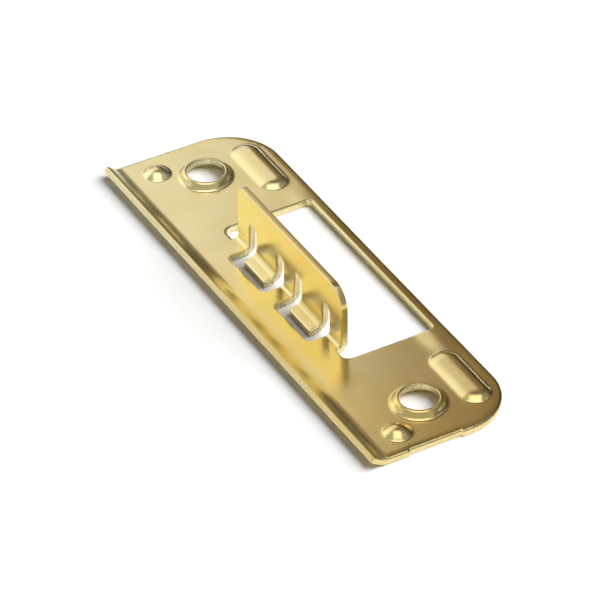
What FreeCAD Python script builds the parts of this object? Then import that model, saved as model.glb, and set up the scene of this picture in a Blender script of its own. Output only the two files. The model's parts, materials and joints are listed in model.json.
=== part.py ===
import math
import os

import FreeCAD, Part

# Door strike plate, stamped and bent from one sheet of steel.
# X runs along the plate, Y from the lip to the rounded side, and Z out of the back of the plate.
# The flat front face lies at Z = 0, and the sheet rises from there.
# The origin is under the middle of the whole outline. Lengths are in millimetres.

# Sheet
thickness = 1.5
rolled_edge_radius = 0.3

# Blank, whose far edge is measured from the line through the screw holes
plate_length = 110.0
far_edge_distance = 17.0
far_corner_radius = 12.0

# Lip, curled up along the near long edge
fold_distance = 13.5
lip_angle = 34.0
lip_inner_radius = 3.5
lip_straight = 1.7

# Step where the carrier web was sheared off one short edge
web_step = 0.35
web_width = 11.6
web_offset = 3.0

# Screw holes, each in a collar drawn up from the sheet, with its countersink in the front face
hole_end_distance = 11.8
bore_diameter = 8.0
collar_rim_width = 0.7
collar_flank_width = 1.1
collar_height = 1.5
collar_foot_radius = 0.9
countersink_width = 1.3
countersink_depth = 1.6

# Dimples that bed into the jamb, one outside each hole
dimple_hole_offset = 5.8
dimple_fold_distance = 5.2
dimple_diameter = 5.6
dimple_height = 1.35

# Stiffening ribs, which fill the room between the collars, the opening and the edges but for these gaps
rib_collar_gap = 2.35
rib_edge_gap = 2.85
rib_end_gap = 6.0
rib_opening_gap = 7.0
rib_height = 1.0
rib_flank_width = 1.15
rib_crown_radius = 0.8

# Embossed walls of the dimples and ribs
embossed_wall = 1.3
hollow_inset = 0.5
embossed_foot_radius = 0.9

# Adjusting tab, bent up from the near side of the latch opening
tab_length = 42.4
tab_height = 13.2
tab_offset = 4.4
tab_bend_radius = 1.0
tab_left_corner_radius = 2.2
tab_right_corner_radius = 4.8

# Latch opening, a little off the middle with its tab, and a relief at each end of the tab's bend
opening_offset = -0.5
relief_width = 3.6
relief_depth = 0.3
relief_corner_radius = 1.75
relief_root_radius = 0.2
far_strip_width = 2.5
opening_corner_radius = 1.0

# Two lanced tongues, which hang from the tab across the bend
tongue_spacing = 18.4
tongue_width = 8.6
tongue_reach = 2.9
tongue_corner_radius = 0.5
side_slot_width = 2.65
side_slot_height = 6.6
end_slot_width = 2.05
slot_corner_radius = 1.2

# How far a cutter runs past a face, and how close two places count as the same
overrun = 1.0
same_place = 0.01

# Places worked out from the sizes above
quarter_turn = math.pi / 2
lip_turn = math.radians(lip_angle)
lip_outer_radius = lip_inner_radius + thickness
lip_reach = (
    fold_distance
    + lip_outer_radius * math.sin(lip_turn)
    + lip_straight * math.cos(lip_turn)
)
hole_line = (lip_reach - far_edge_distance) / 2
far_edge = hole_line + far_edge_distance
near_edge = hole_line - lip_reach
fold_line = hole_line - fold_distance
half_length = plate_length / 2
half_tab = tab_length / 2
half_opening = half_tab + relief_width
opening_far = far_edge - far_strip_width
tab_face = hole_line - tab_offset
tab_back = tab_face + thickness
tab_top = thickness + tab_height
bend_start = tab_face - tab_bend_radius
relief_end = bend_start - relief_depth
half_tongue = tongue_width / 2
half_slots = half_tongue + side_slot_width
tongue_end = tab_face - tongue_reach
slot_end = tongue_end - end_slot_width
slot_top = thickness + side_slot_height
bore_radius = bore_diameter / 2
rim_radius = bore_radius + collar_rim_width
collar_radius = rim_radius + collar_flank_width
collar_top = thickness + collar_height
hole_x = half_length - hole_end_distance
dimple_x = hole_x + dimple_hole_offset
dimple_y = fold_line + dimple_fold_distance
rib_near = hole_line + collar_radius + rib_collar_gap
rib_width = far_edge - rib_edge_gap - rib_near
rib_inner_end = half_opening + rib_opening_gap
rib_length = half_length - rib_end_gap - rib_inner_end
rib_x = rib_inner_end + rib_length / 2
rib_y = rib_near + rib_width / 2
rib_top = thickness + rib_height
rib_top_radius = rib_width / 2 - rib_flank_width


def point(x, y, z):
    return FreeCAD.Vector(x, y, z)


def near(a, b):
    return abs(a - b) < same_place


def box(low, high):
    """A block between two opposite corners."""
    size = high - low
    return Part.makeBox(size.x, size.y, size.z, low)


def edges_where(solid, test):
    """The edges whose middle and ends all pass a test."""
    found = []
    for edge in solid.Edges:
        middle = edge.valueAt((edge.FirstParameter + edge.LastParameter) / 2)
        if test(middle) and all(test(end.Point) for end in edge.Vertexes):
            found.append(edge)
    return found


def rounded_block(low, high, corners):
    """A block with some of its upright edges rounded, each given by its x, its y and a radius."""
    block = box(low, high)
    for x, y, radius in corners:
        block = block.makeFillet(radius, edges_where(block, lambda p: near(p.x, x) and near(p.y, y)))
    return block


def section_along_x(edges, start, length):
    """A solid whose section is a closed chain of edges drawn at x = start, carried along X."""
    face = Part.Face(Part.Wire(Part.__sortEdges__(edges)))
    return face.extrude(point(length, 0, 0))


def off_bend(across, down, radius, full_turn):
    """How far a place stands off a bend's inner face, which runs on flat from both ends of the turn.

    The place is given by how far it lies across from where the bend starts and down from the bend's axis.
    """
    turn = min(max(math.atan2(across, down), 0), full_turn)
    return radius - across * math.sin(turn) - down * math.cos(turn)


def on_plate_back(p):
    """Whether a place is on the back face of the plate, from the lip over the flat."""
    down = thickness + lip_inner_radius - p.z
    return near(off_bend(fold_line - p.y, down, lip_inner_radius, lip_turn), 0)


def on_tab_back(p):
    """Whether a place is on the face that runs on from the plate's back, round the bend and up the tab."""
    down = thickness + tab_bend_radius - p.z
    return near(off_bend(p.y - bend_start, down, tab_bend_radius, quarter_turn), 0)


def rolled(solid, test):
    """The solid with some edges rolled over, as a punch leaves them where it enters the sheet."""
    return solid.makeFillet(rolled_edge_radius, edges_where(solid, test))


def sheet_with_lip():
    """The flat sheet with the lip curled up along its near edge."""
    x = -half_length
    axis_z = thickness + lip_inner_radius

    def on_bend(radius, turn):
        return point(x, fold_line - radius * math.sin(turn), axis_z - radius * math.cos(turn))

    inner_start = on_bend(lip_inner_radius, 0)
    outer_start = on_bend(lip_outer_radius, 0)
    inner_end = on_bend(lip_inner_radius, lip_turn)
    outer_end = on_bend(lip_outer_radius, lip_turn)
    straight = point(0, -math.cos(lip_turn), math.sin(lip_turn)) * lip_straight
    edges = [
        Part.makeLine(point(x, far_edge, 0), point(x, far_edge, thickness)),
        Part.makeLine(point(x, far_edge, thickness), inner_start),
        Part.Arc(inner_start, on_bend(lip_inner_radius, lip_turn / 2), inner_end).toShape(),
        Part.makeLine(inner_end, inner_end + straight),
        Part.makeLine(inner_end + straight, outer_end + straight),
        Part.makeLine(outer_end + straight, outer_end),
        Part.Arc(outer_end, on_bend(lip_outer_radius, lip_turn / 2), outer_start).toShape(),
        Part.makeLine(outer_start, point(x, far_edge, 0)),
    ]
    return section_along_x(edges, x, plate_length)


def opening_cutter():
    """The latch opening, with a clear place for the tab and a relief cut at each end of its bend."""
    under = -overrun
    over = thickness + overrun
    cutter = rounded_block(
        point(-half_opening, tab_face, under),
        point(half_opening, opening_far, over),
        [(side * half_opening, opening_far, opening_corner_radius) for side in (-1, 1)],
    )
    cutter = cutter.fuse(box(point(-half_tab, bend_start, under), point(half_tab, tab_back, over)))
    for side in (-1, 1):
        low_x, high_x = sorted((side * half_tab, side * half_opening))
        relief = rounded_block(
            point(low_x, relief_end, under),
            point(high_x, tab_back, over),
            [
                (side * half_opening, relief_end, relief_corner_radius),
                (side * half_tab, relief_end, relief_root_radius),
            ],
        )
        cutter = cutter.fuse(relief)
    return cutter.translated(point(opening_offset, 0, 0))


def flat_plate():
    """The lipped sheet with its rounded corners, its opening and the sheared step at one end."""
    outline = rounded_block(
        point(-half_length, near_edge - overrun, -overrun),
        point(half_length, far_edge, tab_top),
        [(side * half_length, far_edge, far_corner_radius) for side in (-1, 1)],
    )
    plate = sheet_with_lip().common(outline)
    corner_start = far_edge - far_corner_radius - same_place

    def on_outline(p):
        return on_plate_back(p) and (near(abs(p.x), half_length) or p.y > corner_start)

    def on_rim(p):
        across = abs(p.x - opening_offset)
        within_x = across < half_opening + same_place
        within_y = relief_end - same_place < p.y < opening_far + same_place
        where_tab_joins = near(p.y, bend_start) and across < half_tab - same_place
        return near(p.z, thickness) and within_x and within_y and not where_tab_joins

    plate = rolled(plate, on_outline)
    plate = rolled(plate.cut(opening_cutter()), on_rim)
    web_centre = hole_line - web_offset
    sheared = box(
        point(half_length - web_step, web_centre - web_width / 2, -overrun),
        point(half_length + overrun, web_centre + web_width / 2, thickness + overrun),
    )
    return plate.cut(sheared)


def tab():
    """The bend and the upright tab: one section carried along X, with its two top corners rounded.

    The bend starts just past the ends of the reliefs, so it doesn't tear the plate beside it.
    """
    x = -half_tab
    axis_z = thickness + tab_bend_radius
    outer_radius = tab_bend_radius + thickness

    def on_bend(radius, turn):
        return point(x, bend_start + radius * math.sin(turn), axis_z - radius * math.cos(turn))

    inner_start = on_bend(tab_bend_radius, 0)
    outer_start = on_bend(outer_radius, 0)
    inner_end = on_bend(tab_bend_radius, quarter_turn)
    outer_end = on_bend(outer_radius, quarter_turn)
    edges = [
        Part.makeLine(outer_start, inner_start),
        Part.Arc(inner_start, on_bend(tab_bend_radius, quarter_turn / 2), inner_end).toShape(),
        Part.makeLine(inner_end, point(x, tab_face, tab_top)),
        Part.makeLine(point(x, tab_face, tab_top), point(x, tab_back, tab_top)),
        Part.makeLine(point(x, tab_back, tab_top), outer_end),
        Part.Arc(outer_end, on_bend(outer_radius, quarter_turn / 2), outer_start).toShape(),
    ]
    solid = section_along_x(edges, x, tab_length)
    low = point(-half_tab, bend_start - overrun, -overrun)
    outline = box(low, point(half_tab, tab_back + overrun, tab_top))
    for end, radius in ((-half_tab, tab_left_corner_radius), (half_tab, tab_right_corner_radius)):
        top_edge = edges_where(outline, lambda p: near(p.x, end) and near(p.z, tab_top))
        outline = outline.makeFillet(radius, top_edge)
    solid = solid.common(outline)

    def on_outline(p):
        return on_tab_back(p) and (near(abs(p.x), half_tab) or p.z > axis_z + same_place)

    return rolled(solid, on_outline).translated(point(opening_offset, 0, 0))


def turned(x, y, outline):
    """A solid of revolution about an upright axis. Its outline is given as radii and heights."""
    corners = [point(x + radius, y, z) for radius, z in outline]
    face = Part.Face(Part.makePolygon(corners + corners[:1]))
    return face.revolve(point(x, y, 0), point(0, 0, 1), 360)


def collar(x):
    """A screw hole: the raised collar, and the cutter for its bore and countersink."""
    middle = thickness / 2
    mouth = bore_radius + countersink_width
    over = collar_top + overrun
    flank = [(collar_radius, middle), (collar_radius, thickness), (rim_radius, collar_top)]
    countersink = [(mouth, -overrun), (mouth, 0), (bore_radius, countersink_depth), (bore_radius, over)]
    raised = turned(x, hole_line, [(0, middle)] + flank + [(0, collar_top)])
    hollow = turned(x, hole_line, [(0, -overrun)] + countersink + [(0, over)])
    return raised, hollow


def dimple(x):
    """A dome pressed up from the sheet: the raised form, and the cutter for the hollow under it."""
    half_width = dimple_diameter / 2
    radius = (half_width**2 + dimple_height**2) / (2 * dimple_height)
    centre = point(x, dimple_y, thickness + dimple_height - radius)
    reach = point(radius, radius, 0)
    above = box(centre - reach + point(0, 0, thickness / 2 - centre.z), centre + reach + point(0, 0, radius))
    return Part.makeSphere(radius, centre).common(above), Part.makeSphere(radius - embossed_wall, centre)


def rib(x):
    """A flat-topped rib pressed up from the sheet, and the cutter for the hollow under it.

    One section is turned at both ends and carried along X between them.
    """
    run = rib_length - rib_width
    under = thickness / 2
    wide = rib_width / 2

    def carried(outline):
        start, end = x - run / 2, x + run / 2
        half = [point(start, rib_y + across, z) for across, z in outline]
        other_half = [point(start, rib_y - across, z) for across, z in reversed(outline)]
        corners = half + other_half
        middle = Part.Face(Part.makePolygon(corners + corners[:1])).extrude(point(run, 0, 0))
        whole = [(0, outline[0][1])] + outline + [(0, outline[-1][1])]
        ends = [turned(place, rib_y, whole) for place in (start, end)]
        return middle.fuse(ends).removeSplitter()

    raised = carried([(wide, under), (wide, thickness), (rib_top_radius, rib_top)])
    crown = edges_where(raised, lambda p: near(p.z, rib_top))
    raised = raised.makeFillet(rib_crown_radius, crown)
    roof = rib_top - embossed_wall
    slope = rib_flank_width / rib_height
    roof_radius = rib_top_radius - hollow_inset
    hollow = carried([(roof_radius + slope * (roof + overrun), -overrun), (roof_radius, roof)])
    return raised, hollow


def with_foot(plate, form, foot_radius):
    """The plate with a raised form fused on, and the crease round its foot eased to a radius."""
    reach = form.BoundBox
    reach.enlarge(same_place)
    plate = plate.fuse(form)
    foot = edges_where(plate, lambda p: near(p.z, thickness) and reach.isInside(p))
    return plate.makeFillet(foot_radius, foot)


def tongue_slots(x):
    """The U-shaped cut round one tongue: two arms that climb the bend, and a cut across the tongue's end."""
    back = tab_back + overrun
    cut = rounded_block(
        point(x - half_slots, slot_end, -overrun),
        point(x + half_slots, bend_start, thickness + overrun),
        [(x + side * half_slots, slot_end, slot_corner_radius) for side in (-1, 1)],
    )
    tongue = rounded_block(
        point(x - half_tongue, tongue_end, -2 * overrun),
        point(x + half_tongue, bend_start + overrun, thickness + 2 * overrun),
        [(x + side * half_tongue, tongue_end, tongue_corner_radius) for side in (-1, 1)],
    )
    cut = cut.cut(tongue)
    round_top = side_slot_width / 2
    top_z = slot_top - round_top
    start = bend_start - same_place
    for middle in (x - half_tongue - round_top, x + half_tongue + round_top):
        arm = box(point(middle - round_top, start, -overrun), point(middle + round_top, back, top_z))
        top = Part.makeCylinder(round_top, back - start, point(middle, start, top_z), point(0, 1, 0))
        cut = cut.fuse(arm).fuse(top)
    return cut


def strike_plate():
    plate = flat_plate()
    hollows = []
    for side in (-1, 1):
        raised, hollow = collar(side * hole_x)
        plate = with_foot(plate, raised, collar_foot_radius)
        hollows.append(hollow)
        for raised, hollow in (dimple(side * dimple_x), rib(side * rib_x)):
            plate = with_foot(plate, raised, embossed_foot_radius)
            hollows.append(hollow)
    for hollow in hollows:
        plate = plate.cut(hollow)
    plate = plate.fuse(tab())
    for side in (-1, 1):
        plate = plate.cut(tongue_slots(opening_offset + side * tongue_spacing / 2))
    return plate.removeSplitter()


os.makedirs("parts", exist_ok=True)
solid = strike_plate().Solids[0]
print("valid", solid.isValid(), "faces", len(solid.Faces), "volume", round(solid.Volume, 1))
solid.exportStep("parts/strike_plate.step")
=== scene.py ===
# %% [markdown]
# # A door strike plate in yellow-passivated zinc
#
# The real thing is one piece of sheet steel, 1.5 mm thick. A press pierces it, lances two U-shaped cuts,
# raises collars, dimples and ribs, curls one long edge and bends a tab up. Then it is plated, which gives
# the pale gold colour. It lies on its front face, so the side that goes into the door jamb looks up.
#
# The measured model comes first. This script dresses it and never moves it.

# %% Load the measured model
import json
import math

import bpy
import numpy as np
from mathutils import Matrix, Vector
from mathutils.geometry import delaunay_2d_cdt

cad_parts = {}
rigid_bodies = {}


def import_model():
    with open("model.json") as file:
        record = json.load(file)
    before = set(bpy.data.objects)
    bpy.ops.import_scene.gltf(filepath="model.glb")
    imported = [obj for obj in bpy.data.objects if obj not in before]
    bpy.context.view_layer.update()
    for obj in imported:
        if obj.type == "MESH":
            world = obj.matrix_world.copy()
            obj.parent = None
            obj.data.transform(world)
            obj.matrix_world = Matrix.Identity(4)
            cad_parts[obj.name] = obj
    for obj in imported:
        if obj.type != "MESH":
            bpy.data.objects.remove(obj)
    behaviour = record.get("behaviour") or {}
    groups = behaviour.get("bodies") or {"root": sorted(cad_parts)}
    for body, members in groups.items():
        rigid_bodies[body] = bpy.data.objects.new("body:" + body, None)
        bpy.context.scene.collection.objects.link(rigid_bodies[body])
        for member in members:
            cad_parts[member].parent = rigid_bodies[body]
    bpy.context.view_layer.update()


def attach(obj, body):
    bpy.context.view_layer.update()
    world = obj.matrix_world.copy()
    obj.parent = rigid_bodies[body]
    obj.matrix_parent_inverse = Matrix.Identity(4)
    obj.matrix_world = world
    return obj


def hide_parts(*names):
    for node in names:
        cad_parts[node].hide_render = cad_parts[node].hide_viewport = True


MM = 0.001
for leftover in list(bpy.data.objects):
    bpy.data.objects.remove(leftover)
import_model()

# %% [markdown]
# ## Sizes
#
# The press tools set these sizes, so they are written once, in millimetres, and everything below uses them.
# X runs along the plate, Y from the curled lip to the rounded side, and Z out of the back of the plate.

# %% Sizes of the plate
thickness = 1.5
half_length = 55.0
far_edge = 17.3527
hole_line = far_edge - 17.0
fold_line = hole_line - 13.5
far_corner_radius = 12.0
lip_corner_radius = 0.42

lip_radius = 3.5
lip_turn = math.radians(34.0)
lip_straight = 1.7

opening_x = -0.5
half_tab = 21.2
half_opening = half_tab + 3.6
opening_far = far_edge - 2.5
opening_corner_radius = 1.0
tab_face = hole_line - 4.4
tab_height = 13.2
tab_radius = 1.0
tab_turn = math.pi / 2
tab_straight = tab_height - tab_radius
tab_left_corner, tab_right_corner = 2.2, 4.8
bend_start = tab_face - tab_radius
relief_end = bend_start - 0.3
relief_radius, tab_root_radius = 1.75, 0.2

half_tongue = 4.3
half_slots = half_tongue + 2.65
tongue_x = 9.2
tongue_end = tab_face - 2.9
tongue_slope = math.tan(math.radians(12.0))
tongue_corner_radius = 0.5
slot_end = tongue_end - 2.05
slot_climb = 6.6 - tab_radius
slot_corner_radius = 1.2

hole_x = 43.2
bore_radius = 4.0
rim_radius, rim_rounding = 4.75, 0.75
collar_radius, collar_rounding = 5.35, 1.0
collar_top = 3.0
countersink_radius, countersink_rounding = 5.3, 0.12
countersink_depth = 1.6

dimple_x, dimple_y = 49.0, fold_line + 5.2
dimple_radius, dimple_height, dimple_power = 2.8, 1.35, 2.1
rib_x, rib_y = 40.4, hole_line + 11.15
rib_half_width, rib_half_run, rib_top, rib_power = 3.25, 5.6, 2.5, 2.7
rib_lean, lean_reach = 0.05, 3.0
embossed_wall, hollow_margin = 1.3, 0.7

web_step = 0.35
web_start, web_end = hole_line - 8.8, hole_line + 2.8
web_outer_rounding, web_inner_rounding = 0.342, 0.005

# %% [markdown]
# ## The blank, and how it is bent
#
# The plate is worked out as the press makes it: flat first, then formed. A place in the sheet has three
# numbers: x along the plate, s across the flat blank, and w, its height above the front face of the sheet.
# Bending is then one function of arrays. Inside a bend, s turns into an angle and w into a radius, so both
# faces and every cut edge follow the bend together.

# %% Bend the flat blank
def round_bend(distance, w, radius, full_turn):
    """How far along and how far up a place lies, carried round a bend and straight on after it.

    turn = full_turn * distance / arc length, on the line halfway through the sheet
    along = (radius + thickness - w) * sin(turn) + straight * cos(turn)
    up = thickness + radius - (radius + thickness - w) * cos(turn) + straight * sin(turn)
    """
    arc_length = (radius + thickness / 2) * full_turn
    turn = np.clip(distance / arc_length, 0, 1) * full_turn
    straight = np.maximum(distance - arc_length, 0)
    reach = radius + thickness - w
    along = np.minimum(distance, 0) + reach * np.sin(turn) + straight * np.cos(turn)
    up = thickness + radius - reach * np.cos(turn) + straight * np.sin(turn)
    return along, up


lip_arc = (lip_radius + thickness / 2) * lip_turn
lip_length = lip_arc + lip_straight
tab_arc = (tab_radius + thickness / 2) * tab_turn
tab_bend_end = bend_start + tab_arc
near_edge = fold_line - lip_length
tab_end = bend_start + tab_arc + tab_straight
slot_top = bend_start + tab_arc + slot_climb
print(f"the blank is {far_edge - near_edge:.2f} mm wide when flat")
print(f"the tab is {tab_end - bend_start:.2f} mm long when flat")

# %% [markdown]
# The press leaves its marks too. Nothing holds the two tongues while the tab is bent, so they lag behind the
# bend and slope a little. The thin strip beyond the opening is soft, and the press twists it. Both are small
# heights that are added after bending. The margins below end inside the cuts, where there is no metal, so
# they only decide which piece of the sheet a place belongs to.

# %% Form the blank
tab_margin = 0.5
tongue_side_margin, tongue_end_margin = 1.2, 0.8
strip_twist = 0.115
twist_rises, twist_falls = (-34.0, -8.0), (20.0, 38.0)
twist_width = 5.0


def eased(value, start, end):
    """0 before start, 1 after end, and 3t^2 - 2t^3 between."""
    t = np.clip((value - start) / (end - start), 0, 1)
    return t * t * (3 - 2 * t)


def formed(x, s, w):
    """Places in the pressed sheet, from places in the flat blank: the lip curls up, and the tab stands up.

    A place on a tongue is lifted by the tongue's slope times how far it lies from the tongue's end, and past
    the bend that lift eases to nothing. A place near the far edge, but not on the tab, is raised by the
    twist times its distance from that edge, and exp(-(distance / width)^4) ends that within the strip.
    """
    lip_along, lip_up = round_bend(fold_line - s, w, lip_radius, lip_turn)
    tab_along, tab_up = round_bend(s - bend_start, w, tab_radius, tab_turn)
    across = np.abs(x - opening_x)
    on_lip = s < fold_line
    on_tab = (across < half_tab + tab_margin) & (s > bend_start) & (s < tab_end + tab_margin)
    on_tongue = (np.abs(across - tongue_x) < half_tongue + tongue_side_margin) & (s < slot_top)
    on_tongue &= s > tongue_end - tongue_end_margin
    lift = tongue_slope * np.maximum(s - tongue_end, 0) * (1 - eased(s, tab_bend_end, slot_top))
    from_edge = far_edge - s
    twist = strip_twist * eased(x, *twist_rises) * (1 - eased(x, *twist_falls))
    y = np.where(on_lip, fold_line - lip_along, np.where(on_tab, bend_start + tab_along, s))
    z = np.where(on_lip, lip_up, np.where(on_tab, tab_up, w)) + on_tongue * lift
    z = z + twist * from_edge * np.exp(-((from_edge / twist_width) ** 4)) * ~on_tab
    return np.stack([x, y, z], axis=-1)


lip_top = formed(*np.array([[0.0], [near_edge], [thickness]]))[0, 2]
print(f"the lip's edge stands {lip_top:.2f} mm above the floor")

# %% [markdown]
# ## The outlines of the blank
#
# A punch cuts straight runs with rounded corners. Each outline is a list of corners with their radii, walked
# so that the metal is always on the left. The left-hand normal then points into the metal, which is all that
# the rolled edge and the wall need to know.

# %% Rounded paths and circles
COARSEST_TURN = 0.2


def rounded_path(corners, step):
    """Points and left-hand normals round a closed path of straight runs joined by arcs.

    At each corner the normal turns with the path, and a point of the arc is centre - side * radius * normal,
    where side is 1 for a turn to the left and -1 for a turn to the right.
    """
    corners = np.array(corners, float)
    place, radius = corners[:, :2], corners[:, 2]
    run = np.roll(place, -1, 0) - place
    run_length = np.hypot(*run.T)
    ahead = run / run_length[:, None]
    left = np.stack([-ahead[:, 1], ahead[:, 0]], 1)
    came = np.roll(ahead, 1, 0)
    came_left = np.roll(left, 1, 0)
    turn = np.arctan2(came[:, 0] * ahead[:, 1] - came[:, 1] * ahead[:, 0], (came * ahead).sum(1))
    side = np.sign(turn)
    trim = radius * np.tan(np.abs(turn) / 2)
    points, normals = [], []
    for i in range(len(corners)):
        by_length = math.ceil(abs(turn[i]) * radius[i] / step)
        by_angle = math.ceil(abs(turn[i]) / COARSEST_TURN)
        angle = np.linspace(0, turn[i], max(3, by_length, by_angle))
        normal = np.outer(np.cos(angle), came_left[i]) - np.outer(np.sin(angle), came[i])
        centre = place[i] - trim[i] * came[i] + side[i] * radius[i] * came_left[i]
        points.append(centre - side[i] * radius[i] * normal)
        normals.append(normal)
        after = (i + 1) % len(corners)
        straight = run_length[i] - trim[i] - trim[after]
        count = max(1, math.ceil(straight / step))
        part = np.arange(1, count) / count * straight
        points.append(place[i] + np.outer(trim[i] + part, ahead[i]))
        normals.append(np.tile(left[i], (count - 1, 1)))
    return np.concatenate(points), np.concatenate(normals)


def circle_path(x, s, radius, count):
    """Points and outward normals round a hole, walked clockwise so that the metal is on the left."""
    angle = -2 * math.pi * np.arange(count) / count
    normal = np.stack([np.cos(angle), np.sin(angle)], 1)
    return np.array([x, s]) + radius * normal, normal


# %% Outer edge, opening, slots and bores
EDGE_STEP = 0.45
SLOT_STEP = EDGE_STEP * 0.7
BORE_POINTS = 96
outer = rounded_path(
    [
        (-half_length, near_edge, lip_corner_radius),
        (half_length, near_edge, lip_corner_radius),
        (half_length, web_start, web_outer_rounding),
        (half_length - web_step, web_start, web_inner_rounding),
        (half_length - web_step, web_end, web_inner_rounding),
        (half_length, web_end, web_outer_rounding),
        (half_length, far_edge, far_corner_radius),
        (-half_length, far_edge, far_corner_radius),
    ],
    EDGE_STEP,
)
opening = rounded_path(
    [
        (opening_x - half_opening, opening_far, opening_corner_radius),
        (opening_x + half_opening, opening_far, opening_corner_radius),
        (opening_x + half_opening, relief_end, relief_radius),
        (opening_x + half_tab, relief_end, tab_root_radius),
        (opening_x + half_tab, tab_end, tab_right_corner),
        (opening_x - half_tab, tab_end, tab_left_corner),
        (opening_x - half_tab, relief_end, tab_root_radius),
        (opening_x - half_opening, relief_end, relief_radius),
    ],
    EDGE_STEP,
)


def slot_path(x):
    """The U-shaped cut round one tongue. Its two ends are round, just short of a half circle."""
    end_radius = 0.499 * (half_slots - half_tongue)
    return rounded_path(
        [
            (x - half_slots, slot_top, end_radius),
            (x - half_tongue, slot_top, end_radius),
            (x - half_tongue, tongue_end, tongue_corner_radius),
            (x + half_tongue, tongue_end, tongue_corner_radius),
            (x + half_tongue, slot_top, end_radius),
            (x + half_slots, slot_top, end_radius),
            (x + half_slots, slot_end, slot_corner_radius),
            (x - half_slots, slot_end, slot_corner_radius),
        ],
        SLOT_STEP,
    )


outlines = [outer, opening]
outlines += [slot_path(opening_x + side * tongue_x) for side in (-1, 1)]
outlines += [circle_path(side * hole_x, hole_line, bore_radius, BORE_POINTS) for side in (-1, 1)]
print("outlines:", [len(points) for points, normals in outlines], "points")

# %% [markdown]
# ## Raised forms
#
# The collars, dimples and ribs are heights added to the two faces of the sheet. Each depends only on how far
# a place is from a centre, or from the line along the middle of a rib. So each is one profile: distances and
# heights. A collar is drawn through the sheet and keeps a rounded rim. A dimple or a rib is sheet stretched
# over a punch, so it is crowned, and its foot runs softly into the flat.

# %% Profiles
FAR = 9.0
SHARP = 0.001
PROFILE_STEP = 0.25
CROWN_STEP, FOOT_STEP = 0.15, 0.06
CROWN_END, FOOT_START, FOOT_END = -0.8, -0.7, 0.8
FOOT_SOFTNESS = 0.04


def rows(start, end, step):
    """Even numbers from start to end, at most a step apart."""
    return np.linspace(start, end, max(2, math.ceil(abs(end - start) / step) + 1))


def profile(corners):
    """Distances and heights along an open profile, given as distance, height and radius at each corner.

    A rounded path is closed, so two more corners lead back above the profile, and their points are dropped.
    """
    first, last = corners[0], corners[-1]
    top = max(height for distance, height, radius in corners)
    lid, lid_rounding, lid_margin = top + 1, 0.01, 0.02
    closed = list(corners) + [(last[0], lid, lid_rounding), (first[0], lid, lid_rounding)]
    distance, height = rounded_path(closed, PROFILE_STEP)[0].T
    inside = (distance > first[0] + lid_margin) & (distance < last[0] - lid_margin) & (height <= top)
    return np.concatenate([[first[:2]], np.stack([distance, height], 1)[inside], [last[:2]]])


def crowned(half_width, rise, level, power):
    """Distances and heights of a domed form with a soft foot.

    The dome is h = rise * (1 - (distance / half_width)^power). Its foot blends into the level by
    (h + sqrt(h^2 + 4 * softness^2)) / 2, which is h well above the level and 0 well below it.
    """
    crown = rows(0, half_width + CROWN_END, CROWN_STEP)
    foot = rows(half_width + FOOT_START, half_width + FOOT_END, FOOT_STEP)
    distance = np.concatenate([crown, foot, [FAR]])
    dome = rise * (1 - (distance / half_width) ** power)
    softened = (dome + np.sqrt(dome**2 + 4 * FOOT_SOFTNESS**2)) / 2
    return np.stack([distance, level + softened * (distance < FAR)], 1)


within_bore = bore_radius - 1.0
collar_back = profile(
    [
        (within_bore, collar_top, SHARP),
        (rim_radius, collar_top, rim_rounding),
        (collar_radius, thickness, collar_rounding),
        (FAR, thickness, SHARP),
    ]
)
cone_slope = countersink_depth / (countersink_radius - bore_radius)
cone_front = profile(
    [
        (within_bore, countersink_depth + cone_slope * (bore_radius - within_bore), SHARP),
        (countersink_radius, 0, countersink_rounding),
        (FAR, 0, SHARP),
    ]
)
dimple_back = crowned(dimple_radius + 0.1, dimple_height, thickness, dimple_power)
dimple_rise = dimple_height + thickness - embossed_wall
dimple_front = crowned(dimple_radius - hollow_margin, dimple_rise, 0, dimple_power)
rib_back = crowned(rib_half_width, rib_top - thickness, thickness, rib_power)
rib_front = crowned(rib_half_width - hollow_margin, rib_top - embossed_wall, 0, rib_power)
pressed = [
    (hole_x, hole_line, 0, collar_back, cone_front),
    (dimple_x, dimple_y, 0, dimple_back, dimple_front),
    (rib_x, rib_y, rib_half_run, rib_back, rib_front),
]
for name, back_profile in (("collar", collar_back), ("dimple", dimple_back), ("rib", rib_back)):
    print(name, "stands", round(float(back_profile[:, 1].max()) - thickness, 2), "mm above the sheet")


# %% Heights of the two faces
def distance_to_run(x, s, centre_x, centre_s, half_run):
    """How far places are from a straight run along X, or from its mirror image on the other half."""
    return np.hypot(np.maximum(np.abs(np.abs(x) - centre_x) - half_run, 0), s - centre_s)


def face_heights(x, s):
    """Heights of the back face, which looks up, and of the front face, before bending.

    A rib leans: its height is multiplied by 1 + lean * how far the place is from the rib's middle line,
    because the narrow flange behind it gives more easily than the wide flat in front.
    """
    back, front = thickness, 0.0
    for centre_x, centre_s, half_run, back_profile, front_profile in pressed:
        distance = distance_to_run(x, s, centre_x, centre_s, half_run)
        lean = 1 + rib_lean * np.clip(s - centre_s, -lean_reach, lean_reach) * (half_run > 0)
        back = back + (np.interp(distance, *back_profile.T) - thickness) * lean
        front = front + np.interp(distance, *front_profile.T)
    return back, front


rib_middle_height = face_heights(np.array([rib_x]), np.array([rib_y]))[0][0]
print(f"a rib's middle line is {rib_middle_height:.2f} mm above the floor")

# %% [markdown]
# ## Points to hang the surface on
#
# A surface needs points where it curves, and few where it is flat. The blank gets an even grid, with close
# rows in the two bends, three lines of points beside each cut, where the punch drags the surface down, and
# close rings round each raised form. A ring is a rectangle whose corners are rounded by almost half its
# width. Grid points that come too near an outline or a ring are dropped, so no thin triangles form there.

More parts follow.
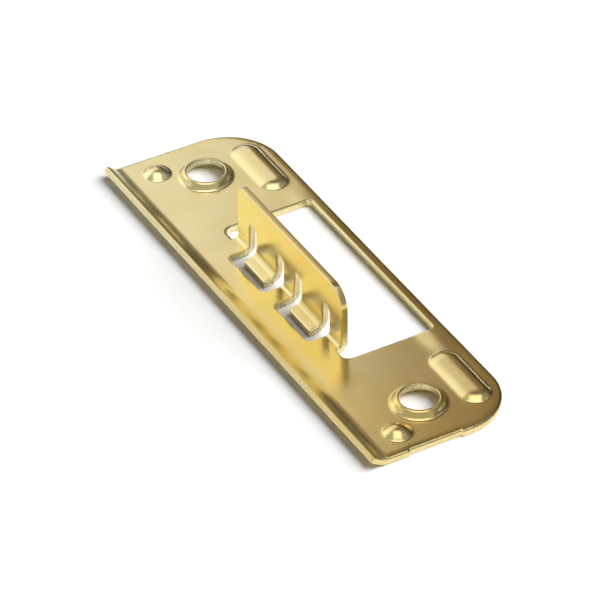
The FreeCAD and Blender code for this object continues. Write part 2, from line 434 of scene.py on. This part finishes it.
# %% Room beside the outlines
FACE_INSET = 0.335
BATCH = 1500
inner_loops = [points + FACE_INSET * normals for points, normals in outlines]
loop_points = np.concatenate(inner_loops)
loop_normals = np.concatenate([normals for points, normals in outlines])
loop_number = np.concatenate([np.full(len(loop), number) for number, loop in enumerate(inner_loops)])


def room(places):
    """Distance from the nearest point of an inner loop, negative outside it, and that loop's number."""
    found, number = np.empty(len(places)), np.empty(len(places), int)
    for start in range(0, len(places), BATCH):
        part = places[start:start + BATCH]
        offset = part[:, None] - loop_points[None]
        nearest = np.argmin((offset**2).sum(2), axis=1)
        toward = offset[np.arange(len(part)), nearest]
        side = np.sign((toward * loop_normals[nearest]).sum(1))
        found[start:start + BATCH] = side * np.hypot(*toward.T)
        number[start:start + BATCH] = loop_number[nearest]
    return found, number


print("inner loops:", len(inner_loops), "with", len(loop_points), "points")

# %% Grid of the flat parts and the bends
GRID_STEP, LIP_STEP = 0.85, 0.6
LIP_BEND_STEP, TAB_BEND_STEP = 0.18, 0.2
BEND_MARGIN, FLAT_MARGIN = 0.06, 0.5
GRID_ROOM = 0.66
lip_end = fold_line - lip_arc
grid_rows = np.concatenate(
    [
        rows(near_edge, lip_end, LIP_STEP),
        rows(lip_end, fold_line, LIP_BEND_STEP)[1:],
        [fold_line + BEND_MARGIN],
        rows(fold_line + FLAT_MARGIN, bend_start - FLAT_MARGIN, GRID_STEP),
        [bend_start - BEND_MARGIN],
        rows(bend_start, tab_bend_end, TAB_BEND_STEP),
        [tab_bend_end + BEND_MARGIN],
        rows(tab_bend_end + FLAT_MARGIN, far_edge, GRID_STEP),
    ]
)
grid_columns = rows(-half_length, half_length, GRID_STEP)
grid = np.stack(np.meshgrid(grid_columns, grid_rows), -1).reshape(-1, 2)
keep = room(grid)[0] > GRID_ROOM
print("grid:", len(grid_columns), "by", len(grid_rows), "places, of which", int(keep.sum()), "have room")

# %% Lines beside the cuts
beside_insets = (0.45, 0.6, 0.8)
INSET_SLACK = 0.02
beside = []
for points, normals in outlines:
    for inset in beside_insets:
        strip = points + inset * normals
        beside.append(strip[np.abs(room(strip)[0] - (inset - FACE_INSET)) < INSET_SLACK])
beside = np.unique(np.round(np.concatenate(beside), 2), axis=0)
print("points beside the cuts:", len(beside))

# %% Rings round the raised forms
RING_STEP, SPINE_STEP, RING_ROOM = 0.35, 0.4, 0.3
ALMOST = 0.999
# Rings run from inside each form's crown or rim to just outside its foot.
ring_distances = [
    rows(4.45, 6.35, 0.13),
    rows(0.3, dimple_radius + 0.6, 0.18),
    rows(0.3, rib_half_width + 0.45, 0.18),
]
rings = []
for (centre_x, centre_s, half_run, *profiles), distances in zip(pressed, ring_distances):
    for distance in distances:
        reach = half_run + distance
        square = [
            (-reach, -distance, distance * ALMOST),
            (reach, -distance, distance * ALMOST),
            (reach, distance, distance * ALMOST),
            (-reach, distance, distance * ALMOST),
        ]
        ring = rounded_path(square, RING_STEP)[0]
        rings += [ring + (side * centre_x, centre_s) for side in (-1, 1)]
    spine = rows(-half_run, half_run, SPINE_STEP) if half_run else np.zeros(1)
    if distances[0] < bore_radius:
        rings += [np.stack([side * centre_x + spine, np.full(len(spine), centre_s)], 1) for side in (-1, 1)]
    keep &= distance_to_run(*grid.T, centre_x, centre_s, half_run) > distances[-1] + RING_ROOM
blank_points = np.concatenate([loop_points, grid[keep], beside] + rings)
print("points in all:", len(blank_points), "of which", int(keep.sum()), "are on the grid")

# %% [markdown]
# Delaunay's rule joins the points into triangles as near to equal-sided as they can be, and the outlines are
# given as edges that it has to keep. It fills the openings too, so triangles outside the metal are dropped.
# Those have all three corners on outlines, so only such triangles are tested.

# %% Triangles of the blank
MERGE_DISTANCE = 1e-6
loop_starts = np.cumsum([0] + [len(loop) for loop in inner_loops])
loop_index = [np.arange(a, b) for a, b in zip(loop_starts[:-1], loop_starts[1:])]
edges = np.concatenate([np.stack([index, np.roll(index, -1)], 1) for index in loop_index])
joined = delaunay_2d_cdt([Vector(p) for p in blank_points], edges.tolist(), [], 0, MERGE_DISTANCE)
triangles = np.array(joined[2])
assert len(joined[0]) == len(blank_points), "an outline crosses itself"
print("triangulated:", len(blank_points), "points,", len(triangles), "triangles")
corner = blank_points[triangles]
first, second = corner[:, 1] - corner[:, 0], corner[:, 2] - corner[:, 0]
area = first[:, 0] * second[:, 1] - first[:, 1] * second[:, 0]
triangles[area < 0] = triangles[area < 0][:, ::-1]


def inside_metal(places):
    """Even-odd rule: a ray along X from a place in the metal crosses the outlines an odd number of times."""
    a, b = blank_points[edges[:, 0]], blank_points[edges[:, 1]]
    x, s = places[:, :1], places[:, 1:]
    straddles = (a[:, 1] > s) != (b[:, 1] > s)
    rise = np.where(a[:, 1] == b[:, 1], 1.0, b[:, 1] - a[:, 1])
    crossing = a[:, 0] + (s - a[:, 1]) * (b[:, 0] - a[:, 0]) / rise
    return (straddles & (x < crossing)).sum(1) % 2 == 1


doubtful = np.flatnonzero((triangles < len(loop_points)).all(1))
outside = doubtful[~inside_metal(blank_points[triangles[doubtful]].mean(1))]
triangles = np.delete(triangles, outside, 0)
print("dropped", len(outside), "triangles outside the metal")

# %% [markdown]
# ## The cut edges
#
# A punch first drags the surface down where it enters, most along the outer edge and least round the
# bores. It shears a smooth band below that, and breaks the rest away in a torn band that leans in. That
# section is a short list of insets and heights, carried along every outline. It shares its first and last
# rows of points with the two faces, so the surface is closed. The lists of widths, depths and tears have one
# number for each outline: the outer edge, the opening, the two slots and the two bores.

# %% Section of a cut edge
roll_widths = np.array([1.05, 0.55, 0.5, 0.5, 0.36, 0.36])
roll_depths = np.array([0.29, 0.14, 0.10, 0.10, 0.05, 0.05])
# The tear shares also set painted shade. The darker torn band stands in for the shade that the cut walls
# mirror: in full on the slots and bores, and at 0.4 on the outer edge and the opening.
tear_and_shade_shares = [0.4, 0.4, 1, 1, 1, 1]
EDGE_ROLL, ROLL_ROWS = 0.12, 5
SHEAR_START = 0.3
WALL_INSET = 0.22
quarter_turn = np.linspace(0, math.pi / 2, ROLL_ROWS)
down_from_back = np.concatenate([[0.0], EDGE_ROLL * (1 - np.cos(quarter_turn)), [SHEAR_START]])
inset_from_back = np.concatenate([[WALL_INSET], EDGE_ROLL * (1 - np.sin(quarter_turn)), [0.0]])
up_from_front = np.array([0.26, 0.16, 0.09, 0.03, 0.0])
inset_from_front = np.array([0.0, 0.01, 0.05, 0.12, WALL_INSET])
torn_and_shaded_rows = np.array([0, 0, 0.3, 0.5, 0.7, 0.8, 0.9, 1, 1, 1, 0.7, 0.2])
section_inset = np.concatenate([inset_from_back, inset_from_front])[:, None, None]
upper_rows, section_rows = len(down_from_back), len(section_inset)
print("rows down a cut edge:", section_rows)


def dragged(distance, number):
    """How far a punch drags the back face down: depth * (1 - distance / width)^2, and 0 past the width."""
    return roll_depths[number] * np.maximum(1 - distance / roll_widths[number], 0) ** 2


# %% Faces and walls
front_start = len(blank_points)
back, front = face_heights(*blank_points.T)
distance, nearest_outline = room(blank_points)
back = back - dragged(distance + FACE_INSET, nearest_outline)
vertices = [formed(*blank_points.T, back), formed(*blank_points.T, front)]
tears_and_shade = [np.zeros(2 * front_start)]
triangles = np.concatenate([triangles, triangles[:, ::-1] + front_start])
next_vertex = 2 * front_start
walls = []
for number, ((points, normals), index) in enumerate(zip(outlines, loop_index)):
    count = len(points)
    section = points + section_inset * normals
    x, s = section[..., 0], section[..., 1]
    back, front = face_heights(x, s)
    top = back[:upper_rows] - (down_from_back + dragged(inset_from_back, number))[:, None]
    bottom = front[upper_rows:] + up_from_front[:, None]
    vertices.append(formed(x, s, np.concatenate([top, bottom])).reshape(-1, 3))
    tears_and_shade.append(np.repeat(torn_and_shaded_rows * tear_and_shade_shares[number], count))
    ring = next_vertex + np.arange(section_rows * count).reshape(section_rows, count)
    ring = np.concatenate([index[None], ring, index[None] + front_start])
    ahead = np.roll(ring, -1, 1)
    walls.append(np.stack([ring[:-1], ring[1:], ahead[1:], ahead[:-1]], -1).reshape(-1, 4))
    next_vertex += section_rows * count
vertices = np.concatenate(vertices)
tears_and_shade = np.concatenate(tears_and_shade)
walls = np.concatenate(walls)
print("surface:", len(vertices), "points,", len(triangles), "triangles and", len(walls), "four-sided faces")

# %% [markdown]
# ## Into a mesh
#
# The arrays go into Blender in one call each, which is quick for tens of thousands of points. Two numbers go
# with each point for the finish to use: how torn the cut is there, which also sets painted shade on the cut
# walls, and how much the sheet was stretched. The lip and the tab's bend are stretched most, and the raised
# forms a little.

# %% Put the surface into a mesh
CREASE = math.radians(40)
mesh = bpy.data.meshes.new("pressed_sheet")
loops = np.concatenate([triangles.ravel(), walls.ravel()]).astype(np.int32)
sizes = np.concatenate([np.full(len(triangles), 3), np.full(len(walls), 4)])
starts = np.concatenate([[0], np.cumsum(sizes)[:-1]]).astype(np.int32)
mesh.vertices.add(len(vertices))
mesh.vertices.foreach_set("co", (vertices * MM).astype(np.float32).ravel())
mesh.loops.add(len(loops))
mesh.loops.foreach_set("vertex_index", loops)
mesh.polygons.add(len(sizes))
mesh.polygons.foreach_set("loop_start", starts)
mesh.update(calc_edges=True)
mesh.validate(verbose=True)
mesh.shade_smooth()
mesh.set_sharp_from_angle(angle=CREASE)
plate = bpy.data.objects.new("pressed_sheet", mesh)
bpy.context.scene.collection.objects.link(plate)
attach(plate, "root")
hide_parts("strike_plate")
print("pressed sheet:", len(vertices), "vertices,", len(triangles) + 2 * len(walls), "triangles")

# %% Where the sheet is torn, with painted shade on its cut walls, and stretched
# Each share rises, or falls, between the two heights or places given to eased.
middle_part, end_parts = 25.0, 28.0
raised_share = 0.15
x, y, z = vertices.T
lip_bent = 1 - eased(y, fold_line - 0.4, fold_line + 0.3)
tab_bent = eased(z, 1.6, 2.2) * (1 - eased(z, 3.2, 5.0)) * (np.abs(x) < middle_part) * (y < bend_start + 4)
raised = eased(z, 1.55, 2.0) * (np.abs(x) > end_parts) * raised_share
stretched = np.maximum(np.maximum(lip_bent, raised), tab_bent)
for name, values in (("torn_and_shaded", tears_and_shade), ("stretched", stretched)):
    attribute = mesh.attributes.new(name, "FLOAT", "POINT")
    attribute.data.foreach_set("value", values.astype(np.float32))
    print("points that are", name + ":", int((values > 0).sum()))

# %% [markdown]
# ## Camera
#
# The plate is seen from the right and a little from in front, from above and through a long lens, so that
# its far side is hardly smaller than its near side. The camera's place and turn were fitted to the plate's
# corners, holes and opening.

# %% Camera
scene = bpy.context.scene
azimuth, elevation, tilt = math.radians(60.73), math.radians(37.61), math.radians(-0.5545)
eye = Vector((694.9, -391.28, 612.48)) * MM
level = math.cos(elevation)
toward_eye = Vector((math.sin(azimuth) * level, -math.cos(azimuth) * level, math.sin(elevation)))
level_right = Vector((math.cos(azimuth), math.sin(azimuth), 0))
level_up = toward_eye.cross(level_right)
right = math.cos(tilt) * level_right + math.sin(tilt) * level_up
up = math.cos(tilt) * level_up - math.sin(tilt) * level_right
camera_data = bpy.data.cameras.new("camera")
camera_data.sensor_width = 36
camera_data.lens = 300.34
camera_data.clip_start = 0.01
camera_data.clip_end = 10
camera = bpy.data.objects.new("camera", camera_data)
camera.matrix_world = Matrix((
    (right.x, up.x, toward_eye.x, eye.x),
    (right.y, up.y, toward_eye.y, eye.y),
    (right.z, up.z, toward_eye.z, eye.z),
    (0, 0, 0, 1),
))
scene.collection.objects.link(camera)
scene.camera = camera
print(f"the camera is {eye.length:.2f} m from the middle of the plate")

# %% [markdown]
# ## Shader maths in plain Python
#
# A finish is built from nodes. Wiring them one by one hides what they work out, so one small class wraps a
# socket and gives it Python's operators. A line of maths then adds its own Math nodes.

# %% A socket that can be added and multiplied
class Wire:
    """One socket of a material, with operators that add Math nodes."""

    def __init__(self, tree, socket=None):
        self.tree = tree
        self.socket = socket

    def node(self, kind, settings, sockets, output=0):
        """Add a node: first its settings, then its sockets, each a number, a colour or another wire."""
        added = self.tree.nodes.new(kind)
        for name, value in settings.items():
            setattr(added, name, value)
        for name, value in sockets.items():
            if isinstance(value, Wire):
                self.tree.links.new(value.socket, added.inputs[name])
            else:
                added.inputs[name].default_value = value
        return Wire(self.tree, added.outputs[output])

    def maths(self, operation, *values):
        """One Math node. Its values are numbers or wires."""
        return self.node("ShaderNodeMath", {"operation": operation}, dict(enumerate(values)))

    def __add__(self, other):
        return self.maths("ADD", self, other)

    def __mul__(self, other):
        return self.maths("MULTIPLY", self, other)

    __radd__ = __add__
    __rmul__ = __mul__

    def between(self, low, high, start=0.0, end=1.0):
        """Smooth step: start below low, end above high, and an S-shaped rise between."""
        settings = {"interpolation_type": "SMOOTHSTEP"}
        sockets = {"Value": self, "From Min": low, "From Max": high, "To Min": start, "To Max": end}
        return self.node("ShaderNodeMapRange", settings, sockets)

    def blend(self, first, second):
        """One colour where this wire is 0, the other where it is 1."""
        sockets = {0: self, 6: first, 7: second}
        return self.node("ShaderNodeMix", {"data_type": "RGBA"}, sockets, 2)

    def noise(self, place, scale, detail=2.0, roughness=0.5):
        """Cloudy noise round 0.5. The scale is in clouds to the metre."""
        sockets = {"Vector": place, "Scale": scale, "Detail": detail, "Roughness": roughness}
        return self.node("ShaderNodeTexNoise", {}, sockets)

    def drawn_out(self, place, x, y, z):
        """Places multiplied along each axis. A factor below 1 draws a pattern out along that axis."""
        return self.node("ShaderNodeVectorMath", {"operation": "MULTIPLY"}, {0: place, 1: (x, y, z)})

    def towards(self, direction, x, y, z):
        """The cosine of the angle between a direction and a fixed one."""
        sockets = {0: direction, 1: Vector((x, y, z)).normalized()}
        return self.node("ShaderNodeVectorMath", {"operation": "DOT_PRODUCT"}, sockets, "Value")


def new_material(name):
    """A material with its shader and a wire to build on."""
    material = bpy.data.materials.new(name)
    material.use_nodes = True
    tree = material.node_tree
    return material, tree.nodes["Principled BSDF"], Wire(tree)


# %% [markdown]
# ## Yellow-passivated zinc
# Zinc plating is a bright grey metal. A chromate bath then leaves a film a fraction of a micrometre thick on
# it, which tints it straw, gold and, in places, faintly green or pink. So the base colour of the metal
# wanders slowly over the plate, in clouds about 36 mm across and others of 6 mm. It is also painted deeper
# gold towards the right end and up the tab. That is painted reflection, for the warm dark room that the
# right end mirrors and for the gold plate that the tab mirrors. The rolled sheet below is not quite flat or
# even, which blurs what it mirrors, most of all where it was stretched. Cut walls are torn, so they are
# rougher and darker. Their darkening is also painted shade, strongest in the slots and bores, for the dark
# that those narrow walls mirror.

# %% Colour of the plating
straw, gold = (0.93, 0.88, 0.54, 1), (0.89, 0.71, 0.28, 1)
greenish, pinkish = (0.78, 0.86, 0.50, 1), (0.96, 0.70, 0.52, 1)
# The dark colour of torn walls is partly the real fracture band and partly painted shade, for walls that
# mirror the dark inside the cuts.
torn_and_shaded_metal = (0.46, 0.40, 0.27, 1)
half_length_m, tab_foot, tab_above_foot = half_length * MM, 0.0016, 0.0045

plating, plating_shader, wire = new_material("yellow_zinc")
place = wire.node("ShaderNodeTexCoord", {}, {}, "Object")
torn_and_shaded_here = wire.node("ShaderNodeAttribute", {"attribute_name": "torn_and_shaded"}, {}, "Fac")
stretched_here = wire.node("ShaderNodeAttribute", {"attribute_name": "stretched"}, {}, "Fac")
clouds = wire.noise(place, 28.0, 3.0, 0.55).between(0.3, 0.7)
small_clouds = wire.noise(place, 170.0).between(0.3, 0.7)
# Painted reflection: deeper gold towards the right end, standing in for the warm dark room that end mirrors.
right_end_painted_reflection = wire.node("ShaderNodeSeparateXYZ", {}, {"Vector": place}, "X")
right_end_painted_reflection = right_end_painted_reflection.between(-half_length_m, half_length_m)
# Painted reflection: deeper gold up the tab, standing in for the gold plate that the tab mirrors.
tab_painted_reflection = wire.node("ShaderNodeSeparateXYZ", {}, {"Vector": place}, "Z").between(tab_foot, tab_above_foot)
film_and_painted_reflection = clouds * 0.40 + small_clouds * 0.12 + right_end_painted_reflection * 0.45 + tab_painted_reflection * 0.4
green_clouds = wire.noise(place, 55.0).between(0.5, 0.75)
pink_clouds = wire.noise(wire.drawn_out(place, 0.8, 1.4, 1.0), 70.0).between(0.52, 0.8)
streaks = wire.noise(wire.drawn_out(place, 1.0, 1.0, 0.15), 2600.0, 2.0, 0.6)
torn_and_shaded = torn_and_shaded_here * streaks.between(0.3, 0.7, 0.35, 1.0)
colour = film_and_painted_reflection.blend(straw, gold)
colour = (green_clouds * 0.32).blend(colour, greenish)
colour = (pink_clouds * 0.20).blend(colour, pinkish)
# Painted shade, mixed with the real torn band: the cut walls darken, most in the slots and bores.
colour = torn_and_shaded.blend(colour, torn_and_shaded_metal)

# %% Smoothness of the plating
smooth = 0.18
smudges = wire.noise(place, 90.0, 4.0, 0.6).between(0.35, 0.7)
roughness = smooth + smudges * 0.05 + torn_and_shaded * 0.1 + stretched_here * 0.1
unevenness = wire.noise(place, 900.0) * 0.5 + wire.noise(place, 260.0) + torn_and_shaded * 0.5
bump = {"Strength": 0.02, "Distance": 0.0003, "Height": unevenness}
surface = wire.node("ShaderNodeBump", {}, bump)
for name, value in (("Base Color", colour), ("Roughness", roughness), ("Normal", surface)):
    wire.tree.links.new(value.socket, plating_shader.inputs[name])
plating_shader.inputs["Metallic"].default_value = 1.0
mesh.materials.append(plating)
print("plating:", len(wire.tree.nodes), "nodes")

# %% [markdown]
# ## Floor and light
#
# The plate lies on white paper. Metal shows its surroundings, so everything else is placed by what each
# part of the plate mirrors towards the camera. The camera itself sees white beyond the floor, but mirrors
# see a dim room: a warm grey glow, nearly black behind the plate, which draws the dark line in the lip and
# behind each rib. The flat mirrors the left card, and its right end looks past the card's edge, so the
# plate darkens along its length. The tab mirrors the same card by way of the plate. The front card is low
# and shows in the lip's cut edge. The top card shows in the flanks that lean towards the camera. All three
# cards are seen in mirrors only. A soft window in the world lights the paper and casts the shadow.

# %% Floor
floor_mesh = bpy.data.meshes.new("floor")
half_floor = 3.0
floor_corners = [(x * half_floor, y * half_floor, 0) for x, y in ((-1, -1), (1, -1), (1, 1), (-1, 1))]
floor_mesh.from_pydata(floor_corners, [], [(0, 1, 2, 3)])
floor = bpy.data.objects.new("floor", floor_mesh)
floor.location.z = -0.02 * MM
scene.collection.objects.link(floor)
paper, paper_shader, wire = new_material("white_paper")
paper_shader.inputs["Base Color"].default_value = (0.97, 0.97, 0.97, 1)
paper_shader.inputs["Roughness"].default_value = 1.0
paper_shader.inputs["Specular IOR Level"].default_value = 0.0
floor_mesh.materials.append(paper)
print("floor:", 2 * half_floor, "m square")

# %% The room that mirrors see, and the window that lights the floor
behind, past_the_card, window_side = (-0.25, 0.95, 0.15), (-0.72, 0.35, 0.60), (0.25, 0.58, 0.78)
warm_grey, nearly_black, brown = (0.45, 0.42, 0.36, 1), (0.010, 0.008, 0.005, 1), (0.22, 0.15, 0.08, 1)
shade, window_light, white = (0.12, 0.12, 0.12, 1), (5.86, 5.86, 5.86, 1), (1, 1, 1, 1)

scene.view_settings.view_transform = "Standard"
world = bpy.data.worlds.new("studio")
scene.world = world
world.use_nodes = True
wire = Wire(world.node_tree)
direction = wire.node("ShaderNodeTexCoord", {}, {}, "Generated")
mirrored = wire.node("ShaderNodeLightPath", {}, {}, "Is Glossy Ray")
seen = wire.node("ShaderNodeLightPath", {}, {}, "Is Camera Ray")
dark_side = wire.towards(direction, *past_the_card).between(0.86, 0.985).blend(nearly_black, brown)
room_glow = wire.towards(direction, *behind).between(0.1, 0.5).blend(warm_grey, dark_side)
daylight = wire.towards(direction, *window_side).between(0.80, 0.97).blend(shade, window_light)
surroundings = seen.blend(mirrored.blend(daylight, room_glow), white)
wire.tree.links.new(surroundings.socket, wire.tree.nodes["Background"].inputs["Color"])
print("world:", len(wire.tree.nodes), "nodes")


# %% Cards
def soft_card(name, centre, target, width, height, radiance, turn=0.0):
    """An area lamp that faces a target and shows only in mirrors. Its power is radiance * pi * its area."""
    lamp = bpy.data.lights.new(name, "AREA")
    lamp.shape = "RECTANGLE"
    lamp.size, lamp.size_y = width, height
    lamp.energy = radiance * math.pi * width * height
    card = bpy.data.objects.new(name, lamp)
    away = (Vector(centre) - Vector(target)).normalized()
    facing = away.to_track_quat("Z", "Y").to_matrix().to_4x4()
    card.matrix_world = Matrix.Translation(centre) @ facing @ Matrix.Rotation(math.radians(turn), 4, "Z")
    card.visible_camera = False
    card.visible_diffuse = False
    scene.collection.objects.link(card)
    print(name + ":", round(lamp.energy, 3), "W")


plate_middle = (0, 0, 0)
soft_card("left_card", (-0.4861, -0.0337, 0.2790), (-0.0221, 0.1113, -0.0230), 0.67, 0.465, 0.69, -10)
soft_card("front_card", (-0.35, -0.45, 0.12), plate_middle, 0.7, 0.24, 0.38)
soft_card("top_card", (0.10, -0.05, 1.00), plate_middle, 0.85, 0.85, 0.9)
